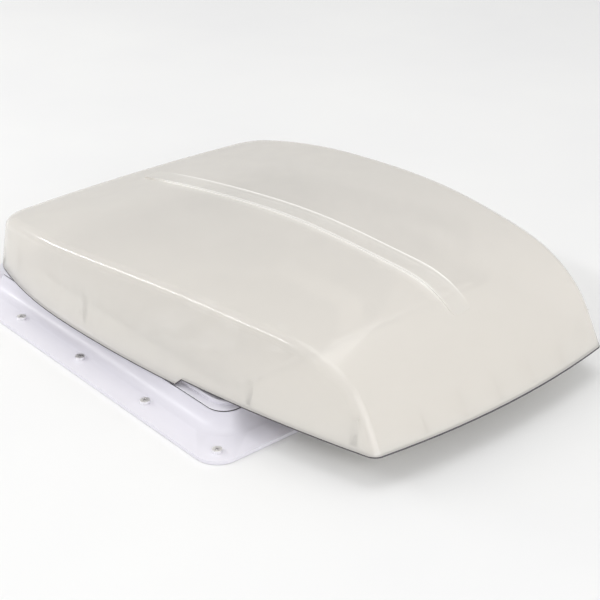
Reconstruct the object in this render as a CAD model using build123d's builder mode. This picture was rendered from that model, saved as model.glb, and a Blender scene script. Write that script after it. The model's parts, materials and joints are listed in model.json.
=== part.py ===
# Caravan roof vent: a powered fan vent for a square roof opening, with a hinged lid.
# The origin is the centre of the roof opening on the roof skin and +Z is up. +X points to
# the lid's overhanging rear, -X to its hinge. All lengths are in millimetres.
from build123d import *

import math
import os

os.makedirs("parts", exist_ok=True)

# Clearances and cutting allowance
OVERRUN = 10.0
FIT_GAP = 0.05
LOOSE_GAP = 0.3
SEAT_GAP = 1.0

# Roof opening and flange
ROOF_OPENING = 355.6
ROOF_THICKNESS = 60.0
SCREW_PITCH = 101.6
SCREWS_PER_SIDE = 5
FLANGE_EDGE = 16.8
FLANGE_THICKNESS = 3.2
FLANGE_CORNER_RADIUS = 22.0
COLLAR_CLEARANCE = 2.0
COLLAR_WALL = 3.8
COLLAR_DEPTH = 45.0
COLLAR_CORNER_RADIUS = 12.0
RIM_WIDTH = 10.5
RIM_RISE = 15.0
RIM_CORNER_RADIUS = 18.0
RIM_SKIN = 3.0
COVE_MARGIN = 0.5
LEDGE_WIDTH = 8.0
LEDGE_THICKNESS = 3.0
LEDGE_HEIGHT = 3.0

# Screws
ROOF_SCREW_RADIUS = 2.1
ROOF_SCREW_LENGTH = 25.0
ROOF_HEAD_RADIUS = 4.4
ROOF_HEAD_HEIGHT = 2.8
SMALL_SCREW_RADIUS = 1.5
SMALL_SCREW_GRIP = 8.0
SMALL_HEAD_RADIUS = 3.0
SMALL_HEAD_HEIGHT = 2.0
SCREW_NECK = 0.15
SLOT_DEPTH = 1.0
SLOT_WIDTH = 0.9

# Gasket on the rim and the upper frame above it
GASKET_THICKNESS = 1.2
GASKET_SETBACK = 0.8
FRAME_THICKNESS = 4.6
FRAME_SETBACK = 4.0
FRAME_SIDE_SETBACK = 7.0
FRAME_CORNER_RADIUS = 20.0
FRAME_SKIRT_RISE = 1.0
FRAME_SKIRT_LEAN = 76.0
FRAME_SIDE_LEDGE = 8.0
FRAME_EDGE_CUT = 0.7
LIP_WIDTH = 2.0
LIP_RISE = 3.0

# Fan shroud
SHROUD_THICKNESS = 3.0
RING_RADIUS = 137.0
RING_WALL = 2.5
RING_DROP = 26.0
RING_LIP = 4.0
RING_MOUTH = 1.8

# Fan and motor
FAN_TIP_GAP = 2.5
FAN_BLADES = 10
HUB_RADIUS = 38.0
HUB_HEIGHT = 26.0
HUB_WALL = 2.5
HUB_BOSS_RADIUS = 9.0
BLADE_THICKNESS = 2.0
BLADE_ROOT_CHORD = 30.0
BLADE_TIP_CHORD = 56.0
BLADE_ROOT_PITCH = 38.0
BLADE_TIP_PITCH = 20.0
BLADE_CAMBER_SHARE = 0.08
MOTOR_RADIUS = 33.0
MOTOR_BOTTOM = 25.0
MOTOR_HEIGHT = 34.0
MOTOR_FLANGE_WIDTH = 7.0
MOTOR_FLANGE_THICKNESS = 2.0
MOTOR_ROUND = 6.0
MOTOR_SHAFT_RADIUS = 4.0
MOTOR_BEARING_DEPTH = 10.0
MOTOR_SCREW_ANGLES = (45, 165, 285)
HUB_TO_MOTOR = 4.0
NUT_RADIUS = 7.5
NUT_HEIGHT = 5.0
NUT_SIDES = 6

# Motor bracket
BRACKET_HEIGHT = 41.0
BRACKET_RING_HEIGHT = 9.0
BRACKET_RING_WALL = 8.0
BRACKET_ARM_WIDTH = 26.0
BRACKET_ARM_THICKNESS = 3.0
BRACKET_LEG_THICKNESS = 4.0
BRACKET_RIB_DEPTH = 5.0
BRACKET_ARMS = 4

# Rain hood and vane panels
HOOD_HALF = 150.0
HOOD_WALL = 2.5
HOOD_FRONT_HEIGHT = 57.0
HOOD_MIDDLE_HEIGHT = 77.5
HOOD_REAR_HEIGHT = 95.0
HOOD_FRONT_ROUND = 14.0
HOOD_SIDE_ROUND = 13.0
HOOD_FOOT_WIDTH = 11.0
HOOD_TAB_WIDTH = 16.0
HOOD_SCREW_SHARE = 0.6
WINDOWS_PER_SIDE = 6
WINDOW_PITCH = 45.6
WINDOW_BAR = 4.0
WINDOW_SILL = 10.0
WINDOW_HEAD = 20.0
WINDOW_ROUND = 8.0
PANEL_THICKNESS = 2.0
PANEL_LAP = 4.0
PANEL_SLOTS = 3
PANEL_BAR_WIDTH = 4.0

# Lid outline, side profile and shell
LID_FRONT = 212.0
LID_REAR = 341.0
LID_HALF_WIDTH = 193.5
LID_WIDEST_SHARE = 0.293
LID_CORNER_INSET = 6.5
LID_CORNER_HALF_WIDTH = 168.0
LID_CORNER_RADIUS = 44.0
LID_REAR_HALF_WIDTH = 138.1
LID_REAR_CORNER_SHARE = 0.985
LID_REAR_SPLAY_SHARE = 0.957
LID_FRONT_BOW_RADIUS = 490.0
LID_SIDE_BOW_RADIUS = 1350.0
LID_FOOT_REACH = 18.0
LID_RIM_HEIGHT = 20.7
LID_REAR_RIM_RISE = 7.0
LID_JOG_SHARE = 0.597
LID_JOG_RUN = 7.0
LID_DRAFT = 9.0
LID_CROWN = 114.0
LID_WALL = 2.8
LID_SHOULDER_RADIUS = 11.0
SHOULDER_FLOOR_SHARE = 0.55
SPINE_WIDTH = 22.0
SPINE_RISE = 1.8
SPINE_ROUND = 4.0
SPINE_FRONT_SHARE = 0.085
SPINE_REAR_SHARE = 0.890
# Places along the lid, with the roof's height on the middle plane and at the widest part
ROOF_LINE_SHARES = (
    (0.000, 0.579, 0.545),
    (0.112, 0.702, 0.665),
    (0.336, 0.889, 0.795),
    (0.579, 0.999, 0.860),
    (0.745, 0.993, 0.820),
    (0.843, 0.935, 0.760),
)
# The rear slope's places on the middle plane and at the widest part, then both heights
REAR_SLOPE_SHARES = (
    (0.896, 0.902, 0.792, 0.660),
    (0.989, 0.944, 0.246, 0.246),
    (1.005, 0.956, 0.150, 0.130),
)
LID_BASE_SHARE = 0.130

# Lid underside
PAN_HEIGHT = 28.0
EDGING_HEIGHT = 1.0
PAN_THICKNESS = 2.5
PAN_EDGE_GAP = 0.5
SEAL_WIDTH = 3.0
BOSS_RADIUS = 4.5
BOSS_HEIGHT = 26.0
BOSS_PLACE_SHARES = (0.130, 0.360, 0.740, 0.925)
GUSSET_THICKNESS = 2.0
GUSSET_PITCH = 42.0
GUSSETS = 5
GUSSET_DEPTH = 34.0
GUSSET_HEIGHT = 40.0

# Lid hinge
HINGE_X = 192.0
HINGE_Z = 22.0
HINGE_Y = 90.0
HINGE_PIN_RADIUS = 2.5
KNUCKLE_RADIUS = 4.5
KNUCKLE_WIDTH = 30.0
LUG_WIDTH = 7.0
LEAF_FRONT = 10.0
LEAF_REAR = 6.0
LEAF_THICKNESS = 2.5
LID_OPEN_ANGLE = 12.0

# Lift gear
LIFT_RATIO = 2.5
LIFT_SHAFT_X = 158.0
LIFT_SHAFT_Z = 24.0
LIFT_SHAFT_RADIUS = 4.0
LIFT_ARM_GAP = 2.5
LIFT_ARM_LENGTH = 110.0
LIFT_ARM_THICKNESS = 4.0
LIFT_HUB_RADIUS = 8.5
LIFT_TIP_RADIUS = 6.0
LIFT_STUD_RADIUS = 3.0
LIFT_STUD_RISE = 12.7
TRACK_GAP = 1.5
TRACK_THICKNESS = 2.5
TRACK_END = 13.0
TRACK_TOP = 7.0
TRACK_BOTTOM = 10.5
TRACK_FOOT_LENGTH = 9.0
TRACK_FOOT_REACH = 9.5
SLOT_CLEARANCE = 0.4
SLOT_ARCS = 3
BEARING_WIDTH = 4.5
BEARING_LENGTH = 14.0
WORM_OFFSET = 16.0
WORM_Y = 60.0
WORM_WHEEL_RADIUS = 9.5
WORM_WHEEL_WIDTH = 8.0
WORM_TEETH = 24
WORM_TOOTH_DEPTH = 1.2
WORM_LENGTH = 16.0
WORM_GROOVES = 5
WORM_RIDGE_SHARE = 0.5
WORM_SHAFT_RADIUS = 3.0
GEARBOX_WALL = 2.5
GEARBOX_HALF_WIDTH = 12.0
GEARBOX_HEIGHT = 28.0
KNOB_RADIUS = 17.0
KNOB_HEIGHT = 15.0
KNOB_FLUTES = 9
KNOB_FLUTE_RADIUS = 3.0
KNOB_EDGE = 1.5
KNOB_BORE_DEPTH = 9.0

# Ceiling trim and insect screen
TRIM_HALF = 203.0
TRIM_CORNER_RADIUS = 25.0
TRIM_THICKNESS = 4.0
TRIM_EDGE_ROUND = 2.5
TRIM_COLLAR_WALL = 2.5
TRIM_COLLAR_LAP = 12.0
TRIM_SCREW_INSET = 15.0
TRIM_SCREW_SPAN = 94.0
SCREEN_FRONT = 138.0
SCREEN_REAR = 124.0
SCREEN_HALF_WIDTH = 138.0
SCREEN_CORNER_RADIUS = 12.0
SCREEN_WALL = 2.5
SCREEN_LIP = 3.0
SCREEN_LIP_THICKNESS = 2.0
SCREEN_THICKNESS = 6.0
SCREEN_BORDER = 11.0
SCREEN_BAR = 5.0
NET_THICKNESS = 0.4
NET_LAP = 3.0
NET_WAYS = 12
NET_THREAD = 1.0
LATCH_SPREAD = 60.0
LATCH_INSET = 8.0
LATCH_LENGTH = 24.0
LATCH_HEEL = 5.0
LATCH_WIDTH = 9.0
LATCH_THICKNESS = 3.0
LATCH_PIN_RADIUS = 2.0
LATCH_ROUND = 3.0

# Control panel
PANEL_X = 145.0
PANEL_Y = 40.0
PANEL_LENGTH = 112.0
PANEL_WIDTH = 32.0
PANEL_FACE = 2.0
PANEL_WALL = 2.0
PANEL_RIM = 3.0
PANEL_DEPTH = 9.5
PANEL_ROUND = 3.0
BUTTON_NAMES = (
    "power_button",
    "speed_up_button",
    "speed_down_button",
    "air_direction_button",
    "automatic_button",
)
BUTTON_PITCH = 20.0
BUTTON_RADIUS = 5.0
BUTTON_PROUD = 1.5
BUTTON_FLANGE = 1.3
BUTTON_FLANGE_THICKNESS = 1.5
BUTTON_STEM_RADIUS = 2.5
BUTTON_TRAVEL = 1.2
SWITCH_SIZE = 6.0
SWITCH_HEIGHT = 3.5
BOARD_THICKNESS = 1.6

# Wiring block and heat sensor
BLOCK_INSET = 4.5
BLOCK_LENGTH = 36.0
BLOCK_WIDTH = 12.0
BLOCK_HEIGHT = 11.0
BLOCK_WAYS = 4
BLOCK_BORE_RADIUS = 2.2
BLOCK_SCREW_DEPTH = 6.0
BLOCK_EDGE = 1.0
SENSOR_Y = 50.0
SENSOR_LENGTH = 14.0
SENSOR_WIDTH = 9.0
SENSOR_HEIGHT = 8.0
SENSOR_TIP_RADIUS = 2.5
SENSOR_TIP_LENGTH = 6.0

# Levels and half widths that follow from the sizes above
screw_half = SCREW_PITCH * (SCREWS_PER_SIDE - 1) / 2
flange_half = screw_half + FLANGE_EDGE
collar_out = ROOF_OPENING / 2 - COLLAR_CLEARANCE
collar_in = collar_out - COLLAR_WALL
ledge_in = collar_in - LEDGE_WIDTH
ledge_screw = collar_in - LEDGE_WIDTH / 2
rim_half = collar_in + RIM_WIDTH
seam_z = FLANGE_THICKNESS + RIM_RISE
frame_low = seam_z + GASKET_THICKNESS
seat_z = frame_low + FRAME_THICKNESS
lip_z = seat_z + LIP_RISE
frame_half = rim_half - FRAME_SETBACK
frame_half_width = rim_half - FRAME_SIDE_SETBACK
frame_side = collar_in - FRAME_SIDE_LEDGE
plate_z = LEDGE_HEIGHT + LEDGE_THICKNESS
plate_top = plate_z + SHROUD_THICKNESS
plate_half = collar_in - LOOSE_GAP
ring_out = RING_RADIUS + RING_WALL
ceiling_z = -ROOF_THICKNESS
trim_face = ceiling_z - TRIM_THICKNESS
pan_top = PAN_HEIGHT + PAN_THICKNESS
lid_length = LID_FRONT + LID_REAR
worm_x = LIFT_SHAFT_X - WORM_OFFSET
small_bore = SMALL_SCREW_RADIUS + FIT_GAP


def square_places(half, count):
    """Places on the sides of a square, `count` to a side, corners included."""
    pitch = 2 * half / (count - 1)
    steps = [n * pitch - half for n in range(count)]
    grid = [(x, y) for x in steps for y in steps]
    return [(x, y) for x, y in grid if half - max(abs(x), abs(y)) < pitch / 2]


def side_places(out, along):
    """Eight places, two on each side of a square."""
    signs = [(a, b) for a in (-1, 1) for b in (-1, 1)]
    return [(a * out, b * along) for a, b in signs] + [(a * along, b * out) for a, b in signs]


def upright(y):
    """The plane at this y with X to the right and Z up; it extrudes towards -Y."""
    return Plane(origin=(0, y, 0), x_dir=(1, 0, 0), z_dir=(0, -1, 0))


def discs(places, low, high, radius, mode=Mode.ADD):
    """Round bars along Z at the places, from one height to the other."""
    with BuildSketch(Plane.XY.offset(low)) as outline:
        with Locations(*places):
            Circle(radius)
    extrude(outline.sketch, amount=high - low, mode=mode)


def disc(place, low, high, radius, mode=Mode.ADD):
    """One round bar along Z."""
    discs([place], low, high, radius, mode)


def necks(places, level, seat, radius):
    """Screws' necks, which widen from the shank's radius to the seat under the head."""
    rise = seat - level
    with BuildSketch(Plane.XY.offset(level)) as outline:
        with Locations(*places):
            Circle(radius)
    spread = math.degrees(math.atan2(SCREW_NECK, abs(rise)))
    extrude(outline.sketch, amount=rise, taper=-spread)


def cross_bar(place, start, end, radius, mode=Mode.ADD):
    """A round bar along Y at this x and z, from the greater y to the lesser."""
    with BuildSketch(upright(start)) as outline:
        with Locations(place):
            Circle(radius)
    extrude(outline.sketch, amount=start - end, mode=mode)


def block(corner, opposite, mode=Mode.ADD):
    """A block between two opposite corners."""
    low = [min(a, b) for a, b in zip(corner, opposite)]
    high = [max(a, b) for a, b in zip(corner, opposite)]
    with BuildSketch(Plane.XY.offset(low[2])) as outline:
        with Locations(((low[0] + high[0]) / 2, (low[1] + high[1]) / 2)):
            Rectangle(high[0] - low[0], high[1] - low[1])
    extrude(outline.sketch, amount=high[2] - low[2], mode=mode)


def prism(half_x, half_y, radius, low, high, mode=Mode.ADD):
    """A rectangular prism with rounded corners round the centre, between two heights."""
    with BuildSketch(Plane.XY.offset(low)) as outline:
        RectangleRounded(2 * half_x, 2 * half_y, radius)
    extrude(outline.sketch, amount=high - low, mode=mode)


def screws(places, seat, shank, head, length, head_height, up=1):
    """Screws at the places: cross-slotted heads on the seat, shanks going the other way."""
    discs(places, *sorted((seat, seat - up * length)), shank)
    discs(places, *sorted((seat, seat + up * head_height)), head)
    with BuildSketch(Plane.XY.offset(seat + up * head_height)) as cross:
        with Locations(*places):
            Rectangle(head, SLOT_WIDTH)
            Rectangle(SLOT_WIDTH, head)
    extrude(cross.sketch, amount=-up * SLOT_DEPTH, mode=Mode.SUBTRACT)


def small_screws(places, seat, grip, up=1):
    """Small screws through the given thickness, `grip`, from the seat."""
    screws(places, seat, SMALL_SCREW_RADIUS, SMALL_HEAD_RADIUS, grip, SMALL_HEAD_HEIGHT, up)


def save(builder, name):
    """Label the finished piece and write it."""
    builder.part.label = name
    export_step(builder.part, f"parts/{name}.step")


# Roof flange: plate, cove up to the rim, and the collar that hangs in the roof opening
flange_places = square_places(screw_half, SCREWS_PER_SIDE)
shroud_places = side_places(ledge_screw, SCREW_PITCH)
with BuildPart() as base_flange:
    prism(flange_half, flange_half, FLANGE_CORNER_RADIUS, 0, FLANGE_THICKNESS)
    prism(rim_half, rim_half, RIM_CORNER_RADIUS, FLANGE_THICKNESS, seam_z)
    cove_edges = base_flange.edges().filter_by(
        lambda edge: abs(edge.center().Z - FLANGE_THICKNESS) < FIT_GAP
        and max(abs(edge.center().X), abs(edge.center().Y)) < screw_half
    )
    fillet(cove_edges, radius=RIM_RISE - COVE_MARGIN)
    prism(collar_out, collar_out, COLLAR_CORNER_RADIUS, -COLLAR_DEPTH, 0)
    prism(collar_in, collar_in, COLLAR_CORNER_RADIUS, -COLLAR_DEPTH, seam_z, Mode.SUBTRACT)
    with BuildSketch(Plane.XY.offset(LEDGE_HEIGHT)):
        RectangleRounded(2 * collar_out, 2 * collar_out, COLLAR_CORNER_RADIUS)
        RectangleRounded(2 * ledge_in, 2 * ledge_in, COLLAR_CORNER_RADIUS, mode=Mode.SUBTRACT)
        with Locations(*shroud_places):
            Circle(small_bore, mode=Mode.SUBTRACT)
    extrude(amount=LEDGE_THICKNESS)
    with BuildSketch():
        hollow = rim_half - RIM_SKIN
        RectangleRounded(2 * hollow, 2 * hollow, RIM_CORNER_RADIUS)
        RectangleRounded(2 * collar_out, 2 * collar_out, COLLAR_CORNER_RADIUS, mode=Mode.SUBTRACT)
        with Locations(*flange_places):
            Circle(ROOF_SCREW_RADIUS + LOOSE_GAP)
    extrude(amount=seam_z - RIM_SKIN, mode=Mode.SUBTRACT)
save(base_flange, "base_flange")

with BuildPart() as flange_screws:
    screws(
        flange_places, FLANGE_THICKNESS, ROOF_SCREW_RADIUS, ROOF_HEAD_RADIUS,
        ROOF_SCREW_LENGTH, ROOF_HEAD_HEIGHT,
    )
    necks(flange_places, 0, FLANGE_THICKNESS, ROOF_SCREW_RADIUS)
save(flange_screws, "flange_screws")

# Gasket between the rim and the upper frame
with BuildPart() as frame_gasket:
    gasket_half = rim_half - GASKET_SETBACK
    prism(gasket_half, gasket_half, RIM_CORNER_RADIUS - GASKET_SETBACK, seam_z, frame_low)
    prism(collar_in, collar_in, COLLAR_CORNER_RADIUS, seam_z, frame_low, Mode.SUBTRACT)
save(frame_gasket, "frame_gasket")

# Upper frame: a skirt on the gasket, the seal's seat, the lip inside it and the hinge lugs
hinge_axis = (-HINGE_X, HINGE_Z)
lug_radius = KNUCKLE_RADIUS - SEAT_GAP
lug_start = KNUCKLE_WIDTH / 2 + LOOSE_GAP
skirt_half = rim_half - LOOSE_GAP
with BuildPart() as base_frame:
    prism(frame_half, frame_half_width, FRAME_CORNER_RADIUS, frame_low, seat_z)
    chamfer(base_frame.faces().sort_by(Axis.Z)[-1].edges(), length=FRAME_EDGE_CUT)
    prism(
        collar_in + LIP_WIDTH, frame_side + LIP_WIDTH,
        COLLAR_CORNER_RADIUS + LIP_WIDTH, seat_z, lip_z,
    )
    with BuildSketch(Plane.XY.offset(frame_low)):
        RectangleRounded(2 * skirt_half, 2 * skirt_half, RIM_CORNER_RADIUS)
    extrude(amount=FRAME_SKIRT_RISE, taper=FRAME_SKIRT_LEAN)
    prism(collar_in, frame_side, COLLAR_CORNER_RADIUS, frame_low, lip_z, Mode.SUBTRACT)
    for side in (-1, 1):
        for end in (-1, 1):
            near = side * HINGE_Y + end * lug_start
            with BuildSketch(upright(max(near, near + end * LUG_WIDTH))):
                with BuildLine():
                    Polyline(
                        (-frame_half + COVE_MARGIN, seat_z - FRAME_EDGE_CUT),
                        (-HINGE_X, HINGE_Z + lug_radius),
                        (-HINGE_X, HINGE_Z - lug_radius),
                        (-rim_half, frame_low),
                        (-frame_half + COVE_MARGIN, frame_low),
                        close=True,
                    )
                make_face()
                with Locations(hinge_axis):
                    Circle(lug_radius)
                    Circle(HINGE_PIN_RADIUS, mode=Mode.SUBTRACT)
            extrude(amount=LUG_WIDTH)
save(base_frame, "base_frame")

pin_half = lug_start + LUG_WIDTH
with BuildPart() as hinge_pins:
    for side in (-1, 1):
        cross_bar(
            hinge_axis, side * HINGE_Y + pin_half, side * HINGE_Y - pin_half, HINGE_PIN_RADIUS
        )
save(hinge_pins, "hinge_pins")

# Fan shroud: the plate on the ledge and the ring round the blades
leg_middle = ring_out + LOOSE_GAP + SMALL_HEAD_RADIUS
leg_spread = BRACKET_ARM_WIDTH / 4
leg_places = [(a * leg_middle, b * leg_spread) for a in (-1, 1) for b in (-1, 1)]
leg_places += [(b * leg_spread, a * leg_middle) for a in (-1, 1) for b in (-1, 1)]
foot_place = HOOD_HALF + HOOD_FOOT_WIDTH / 2
foot_spread = HOOD_HALF * HOOD_SCREW_SHARE
hood_places = [(a * foot_spread, b * foot_place) for a in (-1, 1) for b in (-1, 1)]
hood_places += [(-foot_place, b * foot_spread) for b in (-1, 1)]
with BuildPart() as fan_shroud:
    prism(plate_half, plate_half, COLLAR_CORNER_RADIUS, plate_z, plate_top)
    disc((0, 0), plate_z - RING_DROP, plate_top + RING_LIP, ring_out)
    disc((0, 0), plate_z - RING_DROP, plate_top + RING_LIP, RING_RADIUS, Mode.SUBTRACT)
    mouth_edges = fan_shroud.edges().filter_by(
        lambda edge: edge.geom_type == GeomType.CIRCLE and abs(edge.radius - RING_RADIUS) < FIT_GAP
    )
    chamfer(mouth_edges, length=RING_MOUTH)
    with BuildSketch(Plane.XY.offset(plate_z)):
        with Locations(*shroud_places, *leg_places, *hood_places):
            Circle(small_bore)
        with Locations((worm_x, -WORM_Y)):
            Circle(WORM_SHAFT_RADIUS + LOOSE_GAP)
    extrude(amount=SHROUD_THICKNESS, mode=Mode.SUBTRACT)
save(fan_shroud, "fan_shroud")

with BuildPart() as shroud_screws:
    small_screws(shroud_places, plate_top, SHROUD_THICKNESS + LEDGE_THICKNESS)
save(shroud_screws, "shroud_screws")

# Motor bracket: a ring round the motor, four arms and four legs on the shroud
bracket_ring_in = MOTOR_RADIUS + LOOSE_GAP
bracket_ring_out = bracket_ring_in + BRACKET_RING_WALL
bracket_top = BRACKET_HEIGHT + BRACKET_RING_HEIGHT
arm_z = BRACKET_HEIGHT + BRACKET_RIB_DEPTH
leg_in = leg_middle - BRACKET_LEG_THICKNESS / 2
leg_out = leg_middle + BRACKET_LEG_THICKNESS / 2
motor_screw_ring = MOTOR_RADIUS + MOTOR_FLANGE_WIDTH / 2
motor_places = [
    (motor_screw_ring * math.cos(math.radians(a)), motor_screw_ring * math.sin(math.radians(a)))
    for a in MOTOR_SCREW_ANGLES
]
with BuildPart() as motor_bracket:
    with BuildSketch(Plane.XY.offset(arm_z)):
        with PolarLocations(leg_out / 2, BRACKET_ARMS):
            Rectangle(leg_out, BRACKET_ARM_WIDTH)
    extrude(amount=BRACKET_ARM_THICKNESS)
    with BuildSketch(Plane.XY.offset(BRACKET_HEIGHT)):
        with PolarLocations(leg_in / 2, BRACKET_ARMS):
            Rectangle(leg_in, BRACKET_LEG_THICKNESS)
    extrude(amount=BRACKET_RIB_DEPTH)
    with BuildSketch(Plane.XY.offset(plate_top)):
        with PolarLocations(leg_middle, BRACKET_ARMS):
            Rectangle(BRACKET_LEG_THICKNESS, BRACKET_ARM_WIDTH)
    extrude(amount=arm_z - plate_top)
    disc((0, 0), BRACKET_HEIGHT, bracket_top, bracket_ring_out)
    disc((0, 0), BRACKET_HEIGHT, bracket_top, bracket_ring_in, Mode.SUBTRACT)
    leg_grip = plate_top + SMALL_SCREW_GRIP
    discs(leg_places, plate_top, leg_grip, SMALL_SCREW_RADIUS, Mode.SUBTRACT)
    ring_grip = bracket_top - SMALL_SCREW_GRIP
    discs(motor_places, ring_grip, bracket_top, SMALL_SCREW_RADIUS, Mode.SUBTRACT)
save(motor_bracket, "motor_bracket")

with BuildPart() as bracket_screws:
    small_screws(leg_places, plate_z, SHROUD_THICKNESS + SMALL_SCREW_GRIP, up=-1)
save(bracket_screws, "bracket_screws")

# Fan motor: can, fixing flange and the bearing bore for its shaft
motor_top = MOTOR_BOTTOM + MOTOR_HEIGHT
flange_top = bracket_top + MOTOR_FLANGE_THICKNESS
with BuildPart() as fan_motor:
    disc((0, 0), MOTOR_BOTTOM, motor_top, MOTOR_RADIUS)
    fillet(fan_motor.faces().sort_by(Axis.Z)[-1].edges(), radius=MOTOR_ROUND)
    fillet(fan_motor.faces().sort_by(Axis.Z)[0].edges(), radius=MOTOR_ROUND / 2)
    disc((0, 0), bracket_top, flange_top, MOTOR_RADIUS + MOTOR_FLANGE_WIDTH)
    disc(
        (0, 0), MOTOR_BOTTOM, MOTOR_BOTTOM + MOTOR_BEARING_DEPTH,
        MOTOR_SHAFT_RADIUS + FIT_GAP, Mode.SUBTRACT,
    )
    discs(motor_places, bracket_top, flange_top, small_bore, Mode.SUBTRACT)
save(fan_motor, "fan_motor")

with BuildPart() as motor_screws:
    small_screws(motor_places, flange_top, MOTOR_FLANGE_THICKNESS + SMALL_SCREW_GRIP)
save(motor_screws, "motor_screws")

# Fan: cupped hub with twisted blades, its shaft and the nut below
fan_radius = RING_RADIUS - FAN_TIP_GAP
hub_top = MOTOR_BOTTOM - HUB_TO_MOTOR
hub_bottom = hub_top - HUB_HEIGHT
blade_z = (hub_top + hub_bottom) / 2


def blade_section(reach, chord, pitch):
    """A cambered blade section, standing square to the X axis at this reach."""
    lean = math.radians(pitch)
    along = (0, math.cos(lean), math.sin(lean))
    rise = chord * BLADE_CAMBER_SHARE
    with BuildSketch(Plane(origin=(reach, 0, blade_z), x_dir=along, z_dir=(1, 0, 0))) as section:
        with BuildLine():
            ThreePointArc((-chord / 2, 0), (0, rise), (chord / 2, 0))
            Line((chord / 2, 0), (chord / 2, BLADE_THICKNESS))
            ThreePointArc(
                (chord / 2, BLADE_THICKNESS), (0, rise + BLADE_THICKNESS),
                (-chord / 2, BLADE_THICKNESS),
            )
            Line((-chord / 2, BLADE_THICKNESS), (-chord / 2, 0))
        make_face()
    return section.sketch


root_section = blade_section(HUB_RADIUS - HUB_WALL, BLADE_ROOT_CHORD, BLADE_ROOT_PITCH)
tip_section = blade_section(fan_radius + OVERRUN, BLADE_TIP_CHORD, BLADE_TIP_PITCH)
with BuildPart() as one_blade:
    add(root_section)
    add(tip_section)
    loft()
    disc((0, 0), hub_bottom - HUB_HEIGHT, hub_top + HUB_HEIGHT, fan_radius, Mode.INTERSECT)

with BuildPart() as fan_blades:
    disc((0, 0), hub_bottom, hub_top, HUB_RADIUS)
    with PolarLocations(0, FAN_BLADES):
        add(one_blade.part)
    disc((0, 0), hub_bottom + HUB_WALL, hub_top, HUB_RADIUS - HUB_WALL, Mode.SUBTRACT)
    disc((0, 0), hub_bottom, hub_top, HUB_BOSS_RADIUS)
    disc((0, 0), hub_bottom, hub_top, MOTOR_SHAFT_RADIUS, Mode.SUBTRACT)
save(fan_blades, "fan_blades")

shaft_low = hub_bottom - NUT_HEIGHT - SEAT_GAP
shaft_high = MOTOR_BOTTOM + MOTOR_BEARING_DEPTH - LOOSE_GAP
with BuildPart() as motor_shaft:
    disc((0, 0), shaft_low, shaft_high, MOTOR_SHAFT_RADIUS)
save(motor_shaft, "motor_shaft")

with BuildPart() as fan_nut:
    with BuildSketch(Plane.XY.offset(hub_bottom)):
        RegularPolygon(NUT_RADIUS, NUT_SIDES)
        Circle(MOTOR_SHAFT_RADIUS, mode=Mode.SUBTRACT)
    extrude(amount=-NUT_HEIGHT)
save(fan_nut, "fan_nut")


# Rain hood: a rounded cover over the fan, open at the rear, with windows in both sides
def hood_body(inset):
    """The hood's outer form, or its hollow when inset by the wall."""
    half = HOOD_HALF - inset
    front, middle, rear = (
        height - inset for height in (HOOD_FRONT_HEIGHT, HOOD_MIDDLE_HEIGHT, HOOD_REAR_HEIGHT)
    )
    rear_x = HOOD_HALF + (OVERRUN if inset else 0)
    with BuildPart() as form:
        with BuildSketch(upright(half)):
            with BuildLine():
                Line((-half, plate_top), (-half, front))
                ThreePointArc((-half, front), (0, middle), (HOOD_HALF, rear))
                if inset:
                    Line((HOOD_HALF, rear), (rear_x, rear))
                Line((rear_x, rear), (rear_x, plate_top))
                Line((rear_x, plate_top), (-half, plate_top))
            make_face()
        extrude(amount=2 * half)
        front_edge = form.edges().filter_by(lambda edge: abs(edge.center().Z - front) < FIT_GAP)
        fillet(front_edge, radius=HOOD_FRONT_ROUND - inset)
        side_edges = form.edges().filter_by(
            lambda edge: half - abs(edge.center().Y) < FIT_GAP and edge.center().Z > front
        )
        fillet(side_edges, radius=HOOD_SIDE_ROUND - inset)
    return form.part


def hood_height(x):
    """The hood's outer height at x on its middle plane."""
    share = x / HOOD_HALF
    slope = (HOOD_REAR_HEIGHT - HOOD_FRONT_HEIGHT) / 2
    bow = HOOD_MIDDLE_HEIGHT - (HOOD_REAR_HEIGHT + HOOD_FRONT_HEIGHT) / 2
    return HOOD_MIDDLE_HEIGHT + slope * share - bow * share * share


def window_corners(left, right, margin):
    """A window between two places along X, its head parallel to the hood's roof."""
    sill = plate_top + WINDOW_SILL + margin
    return [
        (left, sill),
        (right, sill),
        (right, hood_height(right) - WINDOW_HEAD - margin),
        (left, hood_height(left) - WINDOW_HEAD - margin),
    ]


windows_half = WINDOWS_PER_SIDE * WINDOW_PITCH / 2
window_edges = [n * WINDOW_PITCH - windows_half for n in range(WINDOWS_PER_SIDE + 1)]
hood_outer = hood_body(0)
hood_hollow = hood_body(HOOD_WALL)
with BuildPart() as rain_hood:
    add(hood_outer)
    foot_top = plate_top + HOOD_WALL
    foot_out = HOOD_HALF + HOOD_FOOT_WIDTH
    block((-HOOD_HALF + HOOD_SIDE_ROUND, -foot_out, plate_top), (HOOD_HALF, foot_out, foot_top))
    for side in (-1, 1):
        middle = side * foot_spread
        block(
            (-foot_out, middle - HOOD_TAB_WIDTH / 2, plate_top),
            (0, middle + HOOD_TAB_WIDTH / 2, foot_top),
        )
    add(hood_hollow, mode=Mode.SUBTRACT)
    for left, right in zip(window_edges, window_edges[1:]):
        corners = window_corners(left + WINDOW_BAR / 2, right - WINDOW_BAR / 2, 0)
        with BuildSketch(upright(foot_out)) as window:
            with BuildLine():
                Polyline(*corners, close=True)
            make_face()
            fillet(window.vertices().sort_by(Axis.Y)[2:], radius=WINDOW_ROUND)
        extrude(amount=2 * foot_out, mode=Mode.SUBTRACT)
    discs(hood_places, plate_top, foot_top, small_bore, Mode.SUBTRACT)
save(rain_hood, "rain_hood")

with BuildPart() as hood_screws:
    small_screws(hood_places, foot_top, HOOD_WALL + SHROUD_THICKNESS)
save(hood_screws, "hood_screws")

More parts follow.
